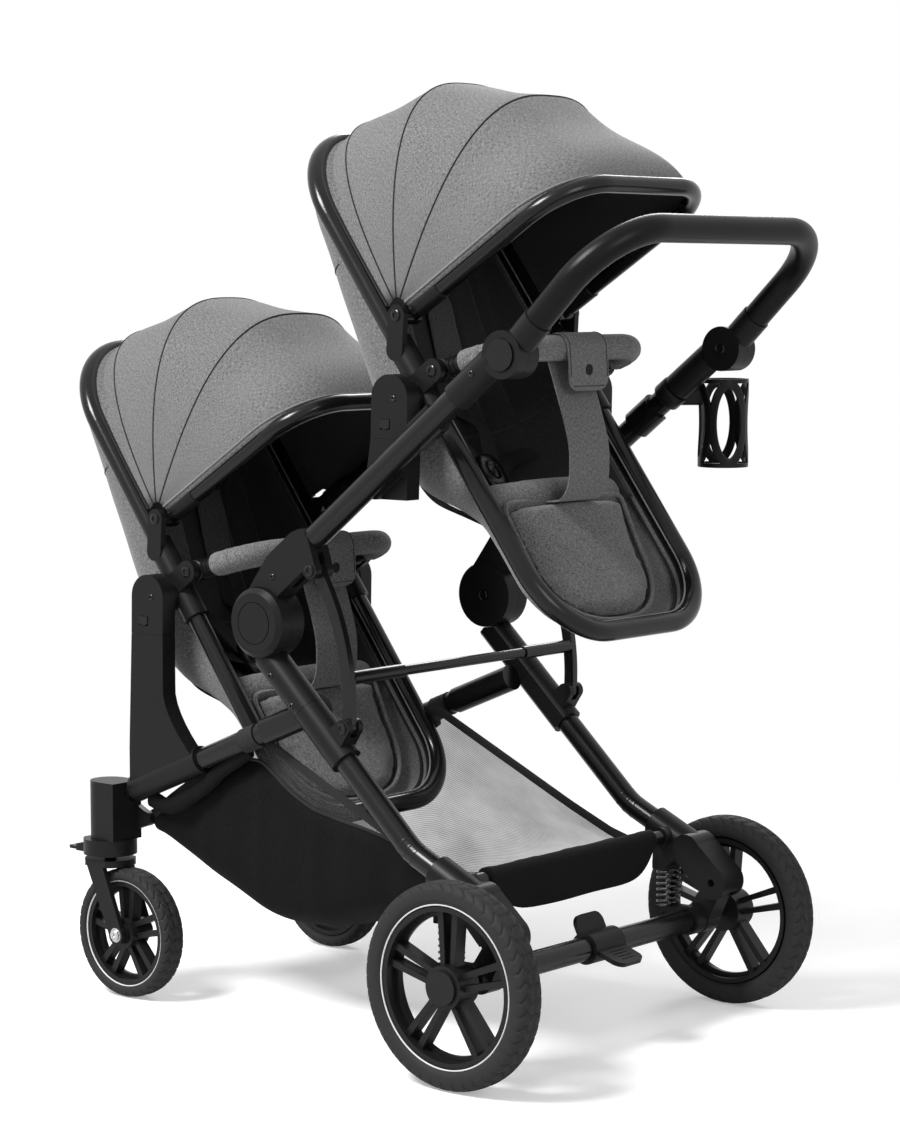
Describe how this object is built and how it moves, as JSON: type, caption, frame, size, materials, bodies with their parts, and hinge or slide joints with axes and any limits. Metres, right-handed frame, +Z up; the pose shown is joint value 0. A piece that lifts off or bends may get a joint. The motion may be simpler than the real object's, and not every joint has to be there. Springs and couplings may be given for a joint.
{
  "type": "tandem double stroller",
  "caption": "Tandem stroller with an upper and a lower seat in line, folding canopies, swivel front wheels, sprung rear axle, storage basket and a folding push frame.",
  "frame": {"origin": "on the floor under the middle of the stroller", "axes": "+X to the left-hand side as pictured (near side), -Y the way of travel, +Y to the handle, +Z up"},
  "size_m": [0.614, 1.0148, 1.2012],
  "materials": {
    "frame_paint": "matte black powder coat",
    "dark_plastic": "fine-grained black nylon",
    "gloss_trim": "smooth black",
    "spring_steel": "black coated wire",
    "basket_cloth": "woven black cloth with a mesh side",
    "grip_foam": "soft black grip",
    "tyre_rubber": "charcoal tread",
    "rim_plastic": "black with a pale line",
    "ring_cover": "semi-gloss black tube",
    "heather_cloth": "heather grey woven cloth"
  },
  "bodies": {
    "chassis": {"front_tubes": "frame_paint", "fold_hubs": "dark_plastic", "leg_tubes": "frame_paint", "leg_housings": "dark_plastic", "caster_housings": "dark_plastic", "lower_seat_posts": "dark_plastic", "basket_bars": "frame_paint", "basket": "basket_cloth", "lower_seat_heads": "dark_plastic", "suspension_springs": "spring_steel"},
    "push_frame": {"push_tubes": "frame_paint", "fold_arms": "dark_plastic", "handle_knuckles": "dark_plastic", "upper_seat_sockets": "dark_plastic", "cup_holder": "dark_plastic"},
    "handle": {"handle_bar": "grip_foam", "handle_hubs": "dark_plastic"},
    "button_left": {"handle_button_left": "gloss_trim"},
    "button_right": {"handle_button_right": "gloss_trim"},
    "slider_left": {"fold_slider_left": "gloss_trim"},
    "slider_right": {"fold_slider_right": "gloss_trim"},
    "collars": {"fold_collars": "dark_plastic"},
    "links": {"fold_links": "frame_paint", "link_crossbar": "frame_paint"},
    "rear_axle": {"axle_tube": "frame_paint", "swing_arms": "dark_plastic"},
    "brake": {"brake_pedal": "dark_plastic"},
    "rear_wheel_left": {"rear_tyre_left": "tyre_rubber", "rear_rim_left": "rim_plastic"},
    "rear_wheel_right": {"rear_tyre_right": "tyre_rubber", "rear_rim_right": "rim_plastic"},
    "caster_left": {"caster_fork_left": "dark_plastic"},
    "caster_right": {"caster_fork_right": "dark_plastic"},
    "swivel_lock_left": {"swivel_lock_left": "gloss_trim"},
    "swivel_lock_right": {"swivel_lock_right": "gloss_trim"},
    "front_wheel_left": {"front_tyre_left": "tyre_rubber", "front_rim_left": "rim_plastic"},
    "front_wheel_right": {"front_tyre_right": "tyre_rubber", "front_rim_right": "rim_plastic"},
    "upper_seat_base": {"upper_seat_heads": "dark_plastic"},
    "upper_release_left": {"upper_release_left": "gloss_trim"},
    "upper_release_right": {"upper_release_right": "gloss_trim"},
    "upper_seat": {"upper_seat_frame": "ring_cover", "upper_seat_clamps": "dark_plastic", "upper_seat_shell": "heather_cloth", "upper_foot_pad": "heather_cloth", "upper_canopy": "heather_cloth", "upper_crotch_strap": "heather_cloth"},
    "upper_bow": {"upper_canopy_bow": "ring_cover"},
    "upper_bumper": {"upper_bumper_bar": "heather_cloth"},
    "lower_release_left": {"lower_release_left": "gloss_trim"},
    "lower_release_right": {"lower_release_right": "gloss_trim"},
    "lower_seat": {"lower_seat_frame": "ring_cover", "lower_seat_clamps": "dark_plastic", "lower_seat_shell": "heather_cloth", "lower_foot_pad": "heather_cloth", "lower_canopy": "heather_cloth", "lower_crotch_strap": "heather_cloth"},
    "lower_bow": {"lower_canopy_bow": "ring_cover"},
    "lower_bumper": {"lower_bumper_bar": "heather_cloth"}
  },
  "joints": [
    {"name": "frame_fold", "type": "hinge", "parent": "chassis", "child": "push_frame", "pos_m": [0, -0.049, 0.5255], "axis": [-1, 0, 0], "range_deg": [0, 62]},
    {"name": "collar_slide", "type": "slide", "parent": "chassis", "child": "collars", "axis": [0, 0.7314, -0.682], "range_m": [0, 0.1168]},
    {"name": "link_swing", "type": "hinge", "parent": "collars", "child": "links", "pos_m": [0, 0.08693, 0.40367], "axis": [1, 0, 0], "range_deg": [0, 22.04]},
    {"name": "upper_seat_off", "type": "slide", "parent": "chassis", "child": "upper_seat_base", "axis": [0, 0, 1], "range_m": [0, 0.5]},
    {"name": "handle_tilt", "type": "hinge", "parent": "push_frame", "child": "handle", "pos_m": [0, 0.34046, 0.86595], "axis": [1, 0, 0], "range_deg": [-30, 20]},
    {"name": "rear_suspension", "type": "hinge", "parent": "chassis", "child": "rear_axle", "pos_m": [0, 0.3343, 0.176], "axis": [-1, 0, 0], "range_deg": [0, 6], "stiffness_Nm_per_rad": 60, "springref_deg": -5.73, "deforming": ["suspension_springs"]},
    {"name": "brake_rock", "type": "hinge", "parent": "rear_axle", "child": "brake", "pos_m": [0, 0.3055, 0.125], "axis": [1, 0, 0], "range_deg": [-8, 8]},
    {"name": "button_left", "type": "slide", "parent": "push_frame", "child": "button_left", "axis": [-1, 0, 0], "range_m": [0, 0.003], "stiffness_N_per_m": 400, "springref_m": -0.005},
    {"name": "slider_left", "type": "slide", "parent": "push_frame", "child": "slider_left", "axis": [0, 0.788, 0.6157], "range_m": [0, 0.01], "stiffness_N_per_m": 200, "springref_m": -0.01},
    {"name": "rear_spin_left", "type": "hinge", "parent": "rear_axle", "child": "rear_wheel_left", "pos_m": [0.285, 0.3055, 0.125], "axis": [1, 0, 0], "continuous": true},
    {"name": "caster_swivel_left", "type": "hinge", "parent": "chassis", "child": "caster_left", "pos_m": [0.2, -0.3645, 0.2], "axis": [0, 0, 1], "continuous": true},
    {"name": "front_spin_left", "type": "hinge", "parent": "caster_left", "child": "front_wheel_left", "pos_m": [0.2, -0.3265, 0.0865], "axis": [1, 0, 0], "continuous": true},
    {"name": "swivel_lock_left", "type": "hinge", "parent": "chassis", "child": "swivel_lock_left", "pos_m": [0.2, -0.4085, 0.1935], "axis": [1, 0, 0], "range_deg": [-20, 20]},
    {"name": "button_right", "type": "slide", "parent": "push_frame", "child": "button_right", "axis": [1, 0, 0], "range_m": [0, 0.003], "stiffness_N_per_m": 400, "springref_m": -0.005},
    {"name": "slider_right", "type": "slide", "parent": "push_frame", "child": "slider_right", "axis": [0, 0.788, 0.6157], "range_m": [0, 0.01], "stiffness_N_per_m": 200, "springref_m": -0.01},
    {"name": "rear_spin_right", "type": "hinge", "parent": "rear_axle", "child": "rear_wheel_right", "pos_m": [-0.285, 0.3055, 0.125], "axis": [1, 0, 0], "continuous": true},
    {"name": "caster_swivel_right", "type": "hinge", "parent": "chassis", "child": "caster_right", "pos_m": [-0.2, -0.3645, 0.2], "axis": [0, 0, 1], "continuous": true},
    {"name": "front_spin_right", "type": "hinge", "parent": "caster_right", "child": "front_wheel_right", "pos_m": [-0.2, -0.3265, 0.0865], "axis": [1, 0, 0], "continuous": true},
    {"name": "swivel_lock_right", "type": "hinge", "parent": "chassis", "child": "swivel_lock_right", "pos_m": [-0.2, -0.4085, 0.1935], "axis": [1, 0, 0], "range_deg": [-20, 20]},
    {"name": "upper_seat_tilt", "type": "hinge", "parent": "upper_seat_base", "child": "upper_seat", "pos_m": [0, 0.1454, 0.81], "axis": [1, 0, 0], "range_deg": [0, 20]},
    {"name": "upper_canopy_fold", "type": "hinge", "parent": "upper_seat", "child": "upper_bow", "pos_m": [0, 0.12279, 0.91003], "axis": [1, 0, 0], "range_deg": [0, 75], "deforming": ["upper_canopy"]},
    {"name": "upper_bumper_lift", "type": "hinge", "parent": "upper_seat", "child": "upper_bumper", "pos_m": [0, 0.17995, 0.8432], "axis": [1, 0, 0], "range_deg": [0, 30], "deforming": ["upper_crotch_strap"]},
    {"name": "upper_release_left", "type": "slide", "parent": "upper_seat_base", "child": "upper_release_left", "axis": [-1, 0, 0], "range_m": [0, 0.003], "stiffness_N_per_m": 200, "springref_m": -0.005},
    {"name": "upper_release_right", "type": "slide", "parent": "upper_seat_base", "child": "upper_release_right", "axis": [1, 0, 0], "range_m": [0, 0.003], "stiffness_N_per_m": 200, "springref_m": -0.005},
    {"name": "lower_seat_tilt", "type": "hinge", "parent": "chassis", "child": "lower_seat", "pos_m": [0, -0.2771, 0.5395], "axis": [1, 0, 0], "range_deg": [0, 20]},
    {"name": "lower_canopy_fold", "type": "hinge", "parent": "lower_seat", "child": "lower_bow", "pos_m": [0, -0.29971, 0.63953], "axis": [1, 0, 0], "range_deg": [0, 75], "deforming": ["lower_canopy"]},
    {"name": "lower_bumper_lift", "type": "hinge", "parent": "lower_seat", "child": "lower_bumper", "pos_m": [0, -0.24255, 0.5727], "axis": [1, 0, 0], "range_deg": [0, 30], "deforming": ["lower_crotch_strap"]},
    {"name": "lower_release_left", "type": "slide", "parent": "chassis", "child": "lower_release_left", "axis": [-1, 0, 0], "range_m": [0, 0.003], "stiffness_N_per_m": 200, "springref_m": -0.005},
    {"name": "lower_release_right", "type": "slide", "parent": "chassis", "child": "lower_release_right", "axis": [1, 0, 0], "range_m": [0, 0.003], "stiffness_N_per_m": 200, "springref_m": -0.005}
  ],
  "couplings": [
    {"joint": "collar_slide", "follows": "frame_fold", "m_per_rad": 0.10777},
    {"joint": "link_swing", "follows": "frame_fold", "ratio": 0.35379},
    {"joint": "upper_seat_off", "follows": "frame_fold", "m_per_rad": 0.46114}
  ]
}
